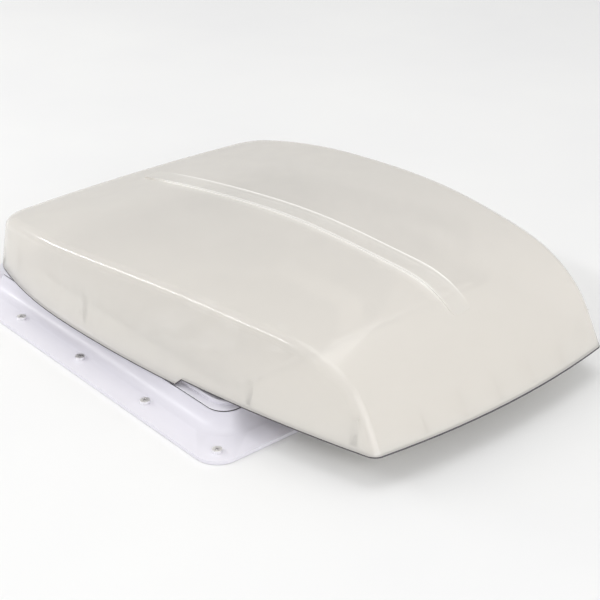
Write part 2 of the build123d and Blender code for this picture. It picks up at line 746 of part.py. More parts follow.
# Vane panels: barred plates behind the hood's windows
panel_face = HOOD_HALF - HOOD_WALL
slot_pitch = WINDOW_PITCH / PANEL_SLOTS
right_start = PANEL_THICKNESS - panel_face
for name, start in (("right_vane_panel", right_start), ("left_vane_panel", panel_face)):
    with BuildPart() as vane_panel:
        with BuildSketch(upright(start)):
            with BuildLine():
                Polyline(*window_corners(-windows_half, windows_half, -PANEL_LAP), close=True)
            make_face()
        extrude(amount=PANEL_THICKNESS)
        for step in range(WINDOWS_PER_SIDE * PANEL_SLOTS):
            left = step * slot_pitch - windows_half + PANEL_BAR_WIDTH / 2
            with BuildSketch(upright(start)):
                with BuildLine():
                    Polyline(
                        *window_corners(left, left + slot_pitch - PANEL_BAR_WIDTH, PANEL_LAP),
                        close=True,
                    )
                make_face()
            extrude(amount=PANEL_THICKNESS, mode=Mode.SUBTRACT)
    save(vane_panel, name)


# Lid: tapered sides under a crowned roof that rolls over at the rear
def lid_x(share):
    """The place along the lid at this share of its length from the front."""
    return share * lid_length - LID_FRONT


def lid_outline(inset):
    """The lid's outline, lowered so far that the drafted sides above it lie in by the inset."""
    base_z = LID_RIM_HEIGHT - inset / math.tan(math.radians(LID_DRAFT))
    widest = lid_x(LID_WIDEST_SHARE)
    corner_x = LID_CORNER_INSET - LID_FRONT
    rear_x = lid_x(LID_REAR_CORNER_SHARE)
    end_x = LID_REAR + OVERRUN
    end_y = LID_REAR_HALF_WIDTH * LID_REAR_SPLAY_SHARE
    near_corner = (corner_x, -LID_CORNER_HALF_WIDTH)
    far_corner = (corner_x, LID_CORNER_HALF_WIDTH)
    near_rear = (rear_x, -LID_REAR_HALF_WIDTH)
    far_rear = (rear_x, LID_REAR_HALF_WIDTH)
    with BuildSketch(Plane.XY.offset(base_z)) as outline:
        with BuildLine():
            RadiusArc(near_corner, (widest, -LID_HALF_WIDTH), -LID_FRONT_BOW_RADIUS)
            RadiusArc((widest, -LID_HALF_WIDTH), near_rear, -LID_SIDE_BOW_RADIUS)
            Polyline(near_rear, (end_x, -end_y), (end_x, end_y), far_rear)
            RadiusArc(far_rear, (widest, LID_HALF_WIDTH), -LID_SIDE_BOW_RADIUS)
            RadiusArc((widest, LID_HALF_WIDTH), far_corner, -LID_FRONT_BOW_RADIUS)
            ThreePointArc(far_corner, (-LID_FRONT, 0), near_corner)
        make_face()
        fillet(outline.vertices().group_by(Axis.X)[0], radius=LID_CORNER_RADIUS)
    return outline.sketch


def lid_section(y, column, inset, lift):
    """The lid's long section at y; column 0 is the middle plane, 1 the widest part."""
    top = [(lid_x(row[0]), row[1 + column] * LID_CROWN - inset + lift) for row in ROOF_LINE_SHARES]
    top[0] = (top[0][0] + inset, top[0][1])
    rear = [(lid_x(row[column]) - inset, row[2 + column] * LID_CROWN) for row in REAR_SLOPE_SHARES]
    foot = (-LID_FRONT - LID_FOOT_REACH + inset, LID_BASE_SHARE * LID_CROWN)
    with BuildSketch(upright(y)) as section:
        with BuildLine():
            Spline(*top, *rear)
            Line(rear[-1], foot)
            Line(foot, top[0])
        make_face()
    return section.sketch


def lid_body(inset, lift=0):
    """The solid lid form, inset by a wall, or with its roof lifted."""
    section_y = LID_HALF_WIDTH + OVERRUN
    outline = lid_outline(inset)
    sections = [lid_section(y, abs(y) > 0, inset, lift) for y in (-section_y, 0, section_y)]
    with BuildPart() as roof:
        add(sections)
        loft()
    with BuildPart() as form:
        add(outline)
        extrude(amount=LID_CROWN + LID_RIM_HEIGHT, taper=LID_DRAFT)
        add(roof.part, mode=Mode.INTERSECT)
    return form.part


def lid_side(x, height, inset):
    """How far from the middle plane the lid's side lies at x and this height."""
    run = x - lid_x(LID_WIDEST_SHARE)
    bow = LID_SIDE_BOW_RADIUS if run > 0 else LID_FRONT_BOW_RADIUS
    lean = (height - LID_RIM_HEIGHT) * math.tan(math.radians(LID_DRAFT))
    return LID_HALF_WIDTH - run * run / (2 * bow) - lean - inset


boss_places = [
    (lid_x(share), side * (lid_side(lid_x(share), pan_top, LID_WALL) - BOSS_RADIUS))
    for share in BOSS_PLACE_SHARES
    for side in (-1, 1)
]
lid_plain = lid_body(0)
lid_hollow = lid_body(LID_WALL)
lid_crest = lid_body(0, SPINE_RISE)
with BuildPart() as lid_outer:
    add(lid_plain)
    shoulder_edges = lid_outer.edges().filter_by(
        lambda edge: edge.bounding_box().max.Z > SHOULDER_FLOOR_SHARE * LID_CROWN
    )
    fillet(shoulder_edges, radius=LID_SHOULDER_RADIUS)

with BuildPart() as lid_spine:
    add(lid_crest)
    with BuildSketch():
        with Locations(((lid_x(SPINE_FRONT_SHARE) + lid_x(SPINE_REAR_SHARE)) / 2, 0)):
            RectangleRounded(
                (SPINE_REAR_SHARE - SPINE_FRONT_SHARE) * lid_length, SPINE_WIDTH, SPINE_ROUND
            )
    extrude(amount=LID_CROWN + OVERRUN, mode=Mode.INTERSECT)

with BuildPart() as lid_ribs:
    discs(boss_places, pan_top, pan_top + BOSS_HEIGHT, BOSS_RADIUS)
    for step in range(GUSSETS):
        middle = (step - (GUSSETS - 1) / 2) * GUSSET_PITCH
        with BuildSketch(upright(middle + GUSSET_THICKNESS / 2)):
            with BuildLine():
                Polyline(
                    (LID_REAR, pan_top),
                    (LID_REAR, pan_top + GUSSET_HEIGHT),
                    (LID_REAR - GUSSET_DEPTH / 2, pan_top + GUSSET_HEIGHT),
                    (LID_REAR - GUSSET_DEPTH, pan_top),
                    close=True,
                )
            make_face()
        extrude(amount=GUSSET_THICKNESS)
    add(lid_plain, mode=Mode.INTERSECT)
    boss_grip = pan_top + SMALL_SCREW_GRIP
    discs(boss_places, pan_top, boss_grip, SMALL_SCREW_RADIUS, Mode.SUBTRACT)

jog_x = lid_x(LID_JOG_SHARE)


def below_rim(rise, mode):
    """All that lies below the lid's stepped rim, or below a line parallel to it."""
    front_z = LID_RIM_HEIGHT + rise
    rear_z = front_z + LID_REAR_RIM_RISE
    front_x = -LID_FRONT - OVERRUN
    rear_x = LID_REAR + OVERRUN
    cut_half = LID_HALF_WIDTH + OVERRUN
    with BuildSketch(upright(cut_half)) as outline:
        with BuildLine():
            Polyline(
                (front_x, front_z),
                (jog_x, front_z),
                (jog_x + LID_JOG_RUN, rear_z),
                (rear_x, rear_z),
                (rear_x, 0),
                (front_x, 0),
                close=True,
            )
        make_face()
    extrude(outline.sketch, amount=2 * cut_half, mode=mode)


with BuildPart() as lid_shell:
    add(lid_outer.part)
    add(lid_spine.part)
    add(lid_hollow, mode=Mode.SUBTRACT)
    below_rim(EDGING_HEIGHT, Mode.SUBTRACT)
    add(lid_ribs.part)
save(lid_shell, "lid_shell")

# Edging: a dark strip along the lid's whole rim
with BuildPart() as lid_edging:
    add(lid_outer.part)
    add(lid_hollow, mode=Mode.SUBTRACT)
    below_rim(EDGING_HEIGHT, Mode.INTERSECT)
    below_rim(0, Mode.SUBTRACT)
save(lid_edging, "lid_edging")

# Lid pan: the plate inside the rim, screwed up to the lid's bosses
pan_form = lid_body(LID_WALL + LOOSE_GAP)
pan_half_x = collar_in + LIP_WIDTH + PAN_EDGE_GAP
pan_half_y = frame_side + PAN_EDGE_GAP
seal_in_x = collar_in + LIP_WIDTH + LOOSE_GAP
seal_in_y = frame_side + LIP_WIDTH + LOOSE_GAP
seal_corner = COLLAR_CORNER_RADIUS + LIP_WIDTH
with BuildPart() as lid_pan:
    with BuildSketch(Plane.XY.offset(PAN_HEIGHT)):
        Rectangle(2 * lid_length, 2 * LID_HALF_WIDTH)
        RectangleRounded(2 * pan_half_x, 2 * pan_half_y, seal_corner, mode=Mode.SUBTRACT)
        with Locations(*boss_places):
            Circle(small_bore, mode=Mode.SUBTRACT)
    extrude(amount=PAN_THICKNESS)
    add(pan_form, mode=Mode.INTERSECT)
save(lid_pan, "lid_pan")

with BuildPart() as lid_seal:
    with BuildSketch(Plane.XY.offset(seat_z + LOOSE_GAP)):
        RectangleRounded(
            2 * (seal_in_x + SEAL_WIDTH), 2 * (seal_in_y + SEAL_WIDTH), seal_corner + SEAL_WIDTH
        )
        RectangleRounded(2 * seal_in_x, 2 * seal_in_y, seal_corner, mode=Mode.SUBTRACT)
    extrude(amount=PAN_HEIGHT - seat_z - LOOSE_GAP)
save(lid_seal, "lid_seal")

with BuildPart() as lid_screws:
    small_screws(boss_places, PAN_HEIGHT, PAN_THICKNESS + SMALL_SCREW_GRIP, up=-1)
save(lid_screws, "lid_screws")

# Hinge leaves under the front of the pan, with the knuckles round the pins
for name, side in (("right_hinge_leaf", -1), ("left_hinge_leaf", 1)):
    with BuildPart() as hinge_leaf:
        start = side * HINGE_Y + KNUCKLE_WIDTH / 2
        end = start - KNUCKLE_WIDTH
        block(
            (-HINGE_X - LEAF_FRONT, start, PAN_HEIGHT - LEAF_THICKNESS),
            (-HINGE_X + LEAF_REAR, end, PAN_HEIGHT),
        )
        cross_bar(hinge_axis, start, end, KNUCKLE_RADIUS)
        cross_bar(hinge_axis, start, end, HINGE_PIN_RADIUS + FIT_GAP, Mode.SUBTRACT)
    save(hinge_leaf, name)

# Lift gear: the shaft turns two arms, whose studs run in curved slots under the lid
arm_in = HOOD_HALF + LIFT_ARM_GAP
arm_out = arm_in + LIFT_ARM_THICKNESS
track_in = arm_out + TRACK_GAP
track_out = track_in + TRACK_THICKNESS
shaft_axis = (LIFT_SHAFT_X, LIFT_SHAFT_Z)
closed_lean = math.asin(LIFT_STUD_RISE / LIFT_ARM_LENGTH)


def slot_place(open_angle):
    """Where the stud lies in the slot, in the closed lid's frame, at this lid angle."""
    lid_turn = math.radians(open_angle)
    lean = closed_lean + LIFT_RATIO * lid_turn
    run = LIFT_SHAFT_X - LIFT_ARM_LENGTH * math.cos(lean) + HINGE_X
    rise = LIFT_SHAFT_Z + LIFT_ARM_LENGTH * math.sin(lean) - HINGE_Z
    return (
        run * math.cos(lid_turn) + rise * math.sin(lid_turn) - HINGE_X,
        rise * math.cos(lid_turn) - run * math.sin(lid_turn) + HINGE_Z,
    )


stud_place = slot_place(0)
slot_end = slot_place(LID_OPEN_ANGLE)
arc_turn = LID_OPEN_ANGLE / SLOT_ARCS
slot_paths = [
    ThreePointArc(*[slot_place((n + part) * arc_turn) for part in (0, 0.5, 1)])
    for n in range(SLOT_ARCS)
]
track_front = stud_place[0] - TRACK_END
track_rear = slot_end[0] + TRACK_END
track_low = LIFT_SHAFT_Z + LIFT_STUD_RISE - TRACK_BOTTOM
track_high = LIFT_SHAFT_Z + LIFT_STUD_RISE + TRACK_TOP + SLOT_CLEARANCE
with BuildPart() as lift_shaft:
    cross_bar(shaft_axis, arm_out + SEAT_GAP, -arm_out - SEAT_GAP, LIFT_SHAFT_RADIUS)
save(lift_shaft, "lift_shaft")

for name, side in (("right", -1), ("left", 1)):
    arm_start = max(side * arm_in, side * arm_out)
    stud_start = max(side * arm_out, side * (track_out + SEAT_GAP))
    track_start = max(side * track_in, side * track_out)
    with BuildPart() as lift_arm:
        with BuildSketch(upright(arm_start)):
            with Locations(shaft_axis):
                Circle(LIFT_HUB_RADIUS)
            with Locations(stud_place):
                Circle(LIFT_TIP_RADIUS)
            make_hull()
            with Locations(shaft_axis):
                Circle(LIFT_SHAFT_RADIUS, mode=Mode.SUBTRACT)
        extrude(amount=LIFT_ARM_THICKNESS)
        cross_bar(
            stud_place, stud_start, stud_start - abs(track_out + SEAT_GAP - arm_out),
            LIFT_STUD_RADIUS,
        )
    save(lift_arm, f"{name}_lift_arm")

    with BuildPart() as lift_track:
        with BuildSketch(upright(track_start)):
            with BuildLine():
                Polyline(
                    (track_front, track_low), (track_rear, track_low),
                    (track_rear, track_high), (track_front, track_high), close=True,
                )
            make_face()
            for slot_path in slot_paths:
                SlotArc(slot_path, 2 * (LIFT_STUD_RADIUS + SLOT_CLEARANCE), mode=Mode.SUBTRACT)
        extrude(amount=TRACK_THICKNESS)
        for foot_x in (track_front, track_rear - TRACK_FOOT_LENGTH):
            block(
                (foot_x, side * track_in, pan_top),
                (
                    foot_x + TRACK_FOOT_LENGTH,
                    side * (pan_half_y + TRACK_FOOT_REACH),
                    pan_top + TRACK_THICKNESS,
                ),
            )
    save(lift_track, f"{name}_lift_track")

    with BuildPart() as shaft_bearing:
        bearing_y = side * (arm_in - SEAT_GAP)
        with BuildSketch(upright(max(bearing_y, bearing_y - side * BEARING_WIDTH))):
            with Locations((LIFT_SHAFT_X, (plate_top + LIFT_SHAFT_Z) / 2)):
                Rectangle(BEARING_LENGTH, LIFT_SHAFT_Z - plate_top)
            with Locations(shaft_axis):
                Circle(BEARING_LENGTH / 2)
                Circle(LIFT_SHAFT_RADIUS + FIT_GAP, mode=Mode.SUBTRACT)
        extrude(amount=BEARING_WIDTH)
    save(shaft_bearing, f"{name}_shaft_bearing")

# Worm gear: the wheel on the lift shaft and the upright worm that the knob turns
worm_radius = WORM_OFFSET - WORM_WHEEL_RADIUS - LOOSE_GAP
wheel_start = -WORM_Y + WORM_WHEEL_WIDTH / 2
tooth_width = math.pi * WORM_WHEEL_RADIUS / WORM_TEETH
with BuildPart() as worm_wheel:
    with BuildSketch(upright(wheel_start)):
        with Locations(shaft_axis):
            Circle(WORM_WHEEL_RADIUS)
            Circle(LIFT_SHAFT_RADIUS, mode=Mode.SUBTRACT)
            with PolarLocations(WORM_WHEEL_RADIUS, WORM_TEETH):
                Rectangle(2 * WORM_TOOTH_DEPTH, tooth_width, mode=Mode.SUBTRACT)
    extrude(amount=WORM_WHEEL_WIDTH)
save(worm_wheel, "worm_wheel")

gearbox_top = plate_top + GEARBOX_HEIGHT
cover_low = gearbox_top - GEARBOX_WALL
knob_top = trim_face - SEAT_GAP
worm_place = (worm_x, -WORM_Y)
worm_low = LIFT_SHAFT_Z - WORM_LENGTH / 2
groove_pitch = WORM_LENGTH / WORM_GROOVES
ridge = groove_pitch * WORM_RIDGE_SHARE
with BuildPart() as worm_shaft:
    disc(worm_place, knob_top - KNOB_BORE_DEPTH, gearbox_top - SEAT_GAP, WORM_SHAFT_RADIUS)
    for step in range(WORM_GROOVES):
        low = worm_low + step * groove_pitch
        disc(worm_place, low, low + groove_pitch, worm_radius - WORM_TOOTH_DEPTH)
        ridge_low = low + (groove_pitch - ridge) / 2
        disc(worm_place, ridge_low, ridge_low + ridge, worm_radius)
save(worm_shaft, "worm_shaft")

with BuildPart() as lift_knob:
    disc(worm_place, knob_top - KNOB_HEIGHT, knob_top, KNOB_RADIUS)
    chamfer(lift_knob.faces().sort_by(Axis.Z)[0].edges(), length=KNOB_EDGE)
    with BuildSketch(Plane.XY.offset(knob_top)):
        with Locations(worm_place):
            with PolarLocations(KNOB_RADIUS + KNOB_FLUTE_RADIUS / 2, KNOB_FLUTES):
                Circle(KNOB_FLUTE_RADIUS)
    extrude(amount=-KNOB_HEIGHT, mode=Mode.SUBTRACT)
    disc(worm_place, knob_top - KNOB_BORE_DEPTH, knob_top, WORM_SHAFT_RADIUS, Mode.SUBTRACT)
save(lift_knob, "lift_knob")

box_in_front = worm_x - worm_radius - SEAT_GAP
box_in_rear = LIFT_SHAFT_X + WORM_WHEEL_RADIUS + SEAT_GAP
box_front = box_in_front - GEARBOX_WALL
box_rear = box_in_rear + GEARBOX_WALL
box_near = -WORM_Y - GEARBOX_HALF_WIDTH
box_far = -WORM_Y + GEARBOX_HALF_WIDTH
with BuildPart() as lift_gearbox:
    block((box_front, box_near, plate_top), (box_rear, box_far, cover_low))
    block(
        (box_in_front, box_near + GEARBOX_WALL, plate_top + GEARBOX_WALL),
        (box_in_rear, box_far - GEARBOX_WALL, cover_low),
        Mode.SUBTRACT,
    )
    cross_bar(shaft_axis, box_far, box_near, LIFT_SHAFT_RADIUS + FIT_GAP, Mode.SUBTRACT)
    disc(worm_place, plate_top, cover_low, WORM_SHAFT_RADIUS + FIT_GAP, Mode.SUBTRACT)
save(lift_gearbox, "lift_gearbox")

with BuildPart() as gearbox_cover:
    block((box_front, box_near, cover_low), (box_rear, box_far, gearbox_top))
    disc(worm_place, cover_low, gearbox_top, WORM_SHAFT_RADIUS + FIT_GAP, Mode.SUBTRACT)
save(gearbox_cover, "gearbox_cover")

# Wiring block and heat sensor on the shroud, in front of the hood
block_rear = -HOOD_HALF - BLOCK_INSET
way_pitch = BLOCK_LENGTH / BLOCK_WAYS
way_places = [
    (block_rear - BLOCK_WIDTH / 2, (n - (BLOCK_WAYS - 1) / 2) * way_pitch)
    for n in range(BLOCK_WAYS)
]
with BuildPart() as terminal_block:
    block(
        (block_rear - BLOCK_WIDTH, -BLOCK_LENGTH / 2, plate_top),
        (block_rear, BLOCK_LENGTH / 2, plate_top + BLOCK_HEIGHT),
    )
    block_top = plate_top + BLOCK_HEIGHT
    discs(way_places, block_top - BLOCK_SCREW_DEPTH, block_top, BLOCK_BORE_RADIUS, Mode.SUBTRACT)
    chamfer(terminal_block.edges().filter_by(Axis.Z), length=BLOCK_EDGE)
save(terminal_block, "terminal_block")

with BuildPart() as heat_sensor:
    middle = block_rear - BLOCK_WIDTH / 2
    block(
        (middle - SENSOR_WIDTH / 2, SENSOR_Y - SENSOR_LENGTH / 2, plate_top),
        (middle + SENSOR_WIDTH / 2, SENSOR_Y + SENSOR_LENGTH / 2, plate_top + SENSOR_HEIGHT),
    )
    disc(
        (middle, SENSOR_Y), plate_top + SENSOR_HEIGHT,
        plate_top + SENSOR_HEIGHT + SENSOR_TIP_LENGTH, SENSOR_TIP_RADIUS,
    )
    fillet(heat_sensor.faces().sort_by(Axis.Z)[-1].edges(), radius=SENSOR_TIP_RADIUS / 2)
save(heat_sensor, "heat_sensor")

# Ceiling trim: the plate under the ceiling, its collar, and the screen's opening
screen_x = (SCREEN_REAR - SCREEN_FRONT) / 2
screen_top = trim_face + SCREEN_THICKNESS
trim_collar_half = collar_in - LOOSE_GAP
trim_collar_top = TRIM_COLLAR_LAP - COLLAR_DEPTH
trim_places = side_places(TRIM_HALF - TRIM_SCREW_INSET, TRIM_SCREW_SPAN)
panel_middle = (PANEL_X, PANEL_Y)
latch_y = SCREEN_HALF_WIDTH + LATCH_INSET
latch_places = {
    "front_right_latch": (screen_x - LATCH_SPREAD, -1),
    "rear_right_latch": (screen_x + LATCH_SPREAD, -1),
    "front_left_latch": (screen_x - LATCH_SPREAD, 1),
    "rear_left_latch": (screen_x + LATCH_SPREAD, 1),
}


def screen_prism(grow, low, high, mode=Mode.ADD):
    """A block of the screen opening's outline, grown all round, between two heights."""
    with BuildSketch(Plane.XY.offset(low)) as outline:
        with Locations((screen_x, 0)):
            RectangleRounded(
                SCREEN_FRONT + SCREEN_REAR + 2 * grow,
                2 * (SCREEN_HALF_WIDTH + grow),
                SCREEN_CORNER_RADIUS + max(grow, 0),
            )
    extrude(outline.sketch, amount=high - low, mode=mode)


with BuildPart() as ceiling_trim:
    prism(TRIM_HALF, TRIM_HALF, TRIM_CORNER_RADIUS, trim_face, ceiling_z)
    fillet(ceiling_trim.faces().sort_by(Axis.Z)[0].edges(), radius=TRIM_EDGE_ROUND)
    with BuildSketch(Plane.XY.offset(ceiling_z)):
        collar_inside = trim_collar_half - TRIM_COLLAR_WALL
        RectangleRounded(2 * trim_collar_half, 2 * trim_collar_half, COLLAR_CORNER_RADIUS)
        RectangleRounded(
            2 * collar_inside, 2 * collar_inside, COLLAR_CORNER_RADIUS, mode=Mode.SUBTRACT
        )
    extrude(amount=trim_collar_top - ceiling_z)
    screen_prism(SCREEN_WALL, ceiling_z, screen_top + SCREEN_LIP_THICKNESS)
    screen_prism(0, trim_face, screen_top, Mode.SUBTRACT)
    screen_prism(-SCREEN_LIP, screen_top, screen_top + SCREEN_LIP_THICKNESS, Mode.SUBTRACT)
    with BuildSketch(Plane.XY.offset(trim_face)):
        with Locations(panel_middle):
            Rectangle(PANEL_WIDTH + 2 * LOOSE_GAP, PANEL_LENGTH + 2 * LOOSE_GAP)
        with Locations(worm_place):
            Circle(WORM_SHAFT_RADIUS + LOOSE_GAP)
        with Locations(*trim_places):
            Circle(SMALL_SCREW_RADIUS + LOOSE_GAP)
        with Locations(*[(x, side * latch_y) for x, side in latch_places.values()]):
            Circle(LATCH_PIN_RADIUS + FIT_GAP)
    extrude(amount=TRIM_THICKNESS, mode=Mode.SUBTRACT)
save(ceiling_trim, "ceiling_trim")

with BuildPart() as trim_screws:
    small_screws(trim_places, trim_face, ROOF_SCREW_LENGTH, up=-1)
    necks(trim_places, ceiling_z, trim_face, SMALL_SCREW_RADIUS)
save(trim_screws, "trim_screws")

# Insect screen: a frame with two bars, and the net in its groove
net_low = (trim_face + screen_top - NET_THICKNESS) / 2
net_grow = NET_LAP - SCREEN_BORDER
with BuildPart() as screen_frame:
    screen_prism(-LOOSE_GAP, trim_face, screen_top)
    screen_prism(-SCREEN_BORDER, trim_face, screen_top, Mode.SUBTRACT)
    with BuildSketch(Plane.XY.offset(trim_face)):
        with Locations((screen_x, 0)):
            Rectangle(SCREEN_FRONT + SCREEN_REAR - SCREEN_BORDER, SCREEN_BAR)
            Rectangle(SCREEN_BAR, 2 * SCREEN_HALF_WIDTH - SCREEN_BORDER)
    extrude(amount=SCREEN_THICKNESS)
    screen_prism(net_grow, net_low, net_low + NET_THICKNESS, Mode.SUBTRACT)
save(screen_frame, "screen_frame")

net_pitch_x = (SCREEN_FRONT + SCREEN_REAR - 2 * SCREEN_BORDER) / NET_WAYS
net_pitch_y = 2 * (SCREEN_HALF_WIDTH - SCREEN_BORDER) / NET_WAYS
with BuildPart() as insect_net:
    screen_prism(net_grow, net_low, net_low + NET_THICKNESS)
    with BuildSketch(Plane.XY.offset(net_low)):
        with Locations((screen_x, 0)):
            with GridLocations(net_pitch_x, net_pitch_y, NET_WAYS, NET_WAYS):
                Rectangle(net_pitch_x - NET_THREAD, net_pitch_y - NET_THREAD)
    extrude(amount=NET_THICKNESS, mode=Mode.SUBTRACT)
save(insect_net, "insect_net")

# Screen latches: bars that turn on pins in the trim
latch_top = trim_face - LOOSE_GAP
for name, (latch_x, side) in latch_places.items():
    with BuildPart() as screen_latch:
        with BuildSketch(Plane.XY.offset(latch_top)):
            with Locations((latch_x, side * (latch_y + LATCH_HEEL - LATCH_LENGTH / 2))):
                RectangleRounded(LATCH_WIDTH, LATCH_LENGTH, LATCH_ROUND)
        extrude(amount=-LATCH_THICKNESS)
        disc((latch_x, side * latch_y), latch_top, ceiling_z - LOOSE_GAP, LATCH_PIN_RADIUS)
    save(screen_latch, name)

# Control panel: bezel and housing in the trim, the board over it and five buttons
face_low = trim_face - PANEL_FACE
board_z = trim_face + PANEL_DEPTH
button_places = [
    (PANEL_X, PANEL_Y + (n - (len(BUTTON_NAMES) - 1) / 2) * BUTTON_PITCH)
    for n in range(len(BUTTON_NAMES))
]
with BuildPart() as control_panel:
    with BuildSketch(Plane.XY.offset(face_low)):
        with Locations(panel_middle):
            RectangleRounded(
                PANEL_WIDTH + 2 * PANEL_RIM, PANEL_LENGTH + 2 * PANEL_RIM, PANEL_RIM + PANEL_ROUND
            )
        with Locations(*button_places):
            Circle(BUTTON_RADIUS + LOOSE_GAP, mode=Mode.SUBTRACT)
    extrude(amount=PANEL_FACE)
    with BuildSketch(Plane.XY.offset(trim_face)):
        with Locations(panel_middle):
            Rectangle(PANEL_WIDTH, PANEL_LENGTH)
            Rectangle(
                PANEL_WIDTH - 2 * PANEL_WALL, PANEL_LENGTH - 2 * PANEL_WALL, mode=Mode.SUBTRACT
            )
    extrude(amount=PANEL_DEPTH)
save(control_panel, "control_panel")

with BuildPart() as control_board:
    with BuildSketch(Plane.XY.offset(board_z)):
        with Locations(panel_middle):
            Rectangle(PANEL_WIDTH, PANEL_LENGTH)
    extrude(amount=BOARD_THICKNESS)
    with BuildSketch(Plane.XY.offset(board_z)):
        with Locations(*button_places):
            Rectangle(SWITCH_SIZE, SWITCH_SIZE)
    extrude(amount=-SWITCH_HEIGHT)
save(control_board, "control_board")

flange_low = trim_face + LOOSE_GAP
stem_top = board_z - SWITCH_HEIGHT - BUTTON_TRAVEL - LOOSE_GAP
for name, place in zip(BUTTON_NAMES, button_places):
    with BuildPart() as button:
        disc(place, face_low - BUTTON_PROUD, flange_low, BUTTON_RADIUS)
        disc(place, flange_low, flange_low + BUTTON_FLANGE_THICKNESS, BUTTON_RADIUS + BUTTON_FLANGE)
        disc(place, flange_low + BUTTON_FLANGE_THICKNESS, stem_top, BUTTON_STEM_RADIUS)
    save(button, name)
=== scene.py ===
import json
import math

import bpy
from mathutils import Matrix, Vector


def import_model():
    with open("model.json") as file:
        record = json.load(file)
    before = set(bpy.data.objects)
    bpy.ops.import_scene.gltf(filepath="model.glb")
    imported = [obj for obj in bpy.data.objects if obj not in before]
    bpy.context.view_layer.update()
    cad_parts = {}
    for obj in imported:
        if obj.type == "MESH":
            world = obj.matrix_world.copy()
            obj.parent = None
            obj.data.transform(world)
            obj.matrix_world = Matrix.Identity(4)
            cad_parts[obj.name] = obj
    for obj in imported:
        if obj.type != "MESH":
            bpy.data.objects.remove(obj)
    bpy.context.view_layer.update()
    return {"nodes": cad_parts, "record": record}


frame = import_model()
nodes = frame["nodes"]

# Camera, solved from the photograph
CAMERA_PLACE = (1.0019, -0.8045, 0.6622)
CAMERA_AZIMUTH = 49.135
CAMERA_ELEVATION = 27.483
LENS = 87.0
SENSOR = 36.0

# Roof panel that the flange lies on, with its opening
PANEL_HALF = 9.0
OPENING_HALF = 0.1778
PANEL_DROP = 0.0003
PANEL_PALE = (243, 243, 242)
PANEL_SHADE = (239, 239, 239)

# Light from above the roof, from the room below it, and the white that the camera sees
WORLD_LIGHT = 0.84
ROOM_LIGHT = 0.45
SEEN_LIGHT = 1.0

# Lamps: the point that all of them face, then the place, size and power of each
LAMP_TARGET = (0.05, 0, 0.05)
KEY_START = (-2.28, -0.58, 0.85)
KEY_END = (-0.33, -1.93, 1.62)
KEY_WIDTH = 0.12
KEY_POWER = 16
TOP_PLACE = (0.2, 0.2, 2.6)
TOP_SIZE = 1.6
TOP_POWER = 14
FILL_PLACE = (2.2, -0.4, 1.0)
FILL_SIZE = 1.4
FILL_POWER = 13

# Pointiness at which an outer edge starts to show wear and is fully worn, and the same for the
# dust in an inner corner
PLASTIC_EDGES = (0.52, 0.6)
METAL_EDGES = (0.52, 0.62)
LID_EDGES = (0.51, 0.56)
CORNERS = (0.42, 0.5)

# How far flow patches, dust, wear and stains reach, and how much lighter a worn edge is
PATCH_SHARE = 0.45
DUST_SHARE = 0.5
WEAR_SHARE = 0.35
STAIN_SHARE = 0.35
PLASTIC_WEAR = 14
METAL_WEAR = 25

# The lid's colours in screen values, its gloss, and how much light it lets through
LID_CREAM = (250, 246, 240)
LID_SHADE = (248, 244, 237)
LID_RUBBED = (250, 248, 243)
LID_GLOW = (250, 246, 238)
LID_PATCH_SHARE = 0.5
LID_WEAR_SHARE = 0.5
LID_ROUGHNESS = (0.20, 0.26)
LID_COAT = 0.8
LID_COAT_ROUGHNESS = 0.07
LID_GLOW_SHARE = 0.14
LID_CLEAR_SHARE = 0.38
HOOD_CLEAR_SHARE = 0.8

# The raised spine along the lid's middle: half its width, its ends, and the painted highlight and
# faint painted glow along its two edges
SPINE_HALF = 0.011
SPINE_ENDS = (-0.150, 0.276)
SPINE_FADE = 0.03
SPINE_FLOOR = 0.055
SPINE_EDGE = 0.0022
SPINE_HIGHLIGHT_PAINT = (255, 255, 253)
SPINE_PAINTED_GLOW = (255, 253, 248)
SPINE_PAINTED_GLOW_STRENGTH = 0.3


def linear(red, green, blue):
    """A colour written in 0 to 255 screen values, as the shader takes it."""
    def one(value):
        value = value / 255
        return value / 12.92 if value <= 0.04045 else ((value + 0.055) / 1.055) ** 2.4
    return (one(red), one(green), one(blue), 1.0)


def lighter(colour, step):
    """A colour in screen values, made lighter by a step."""
    return [min(255, value + step) for value in colour]


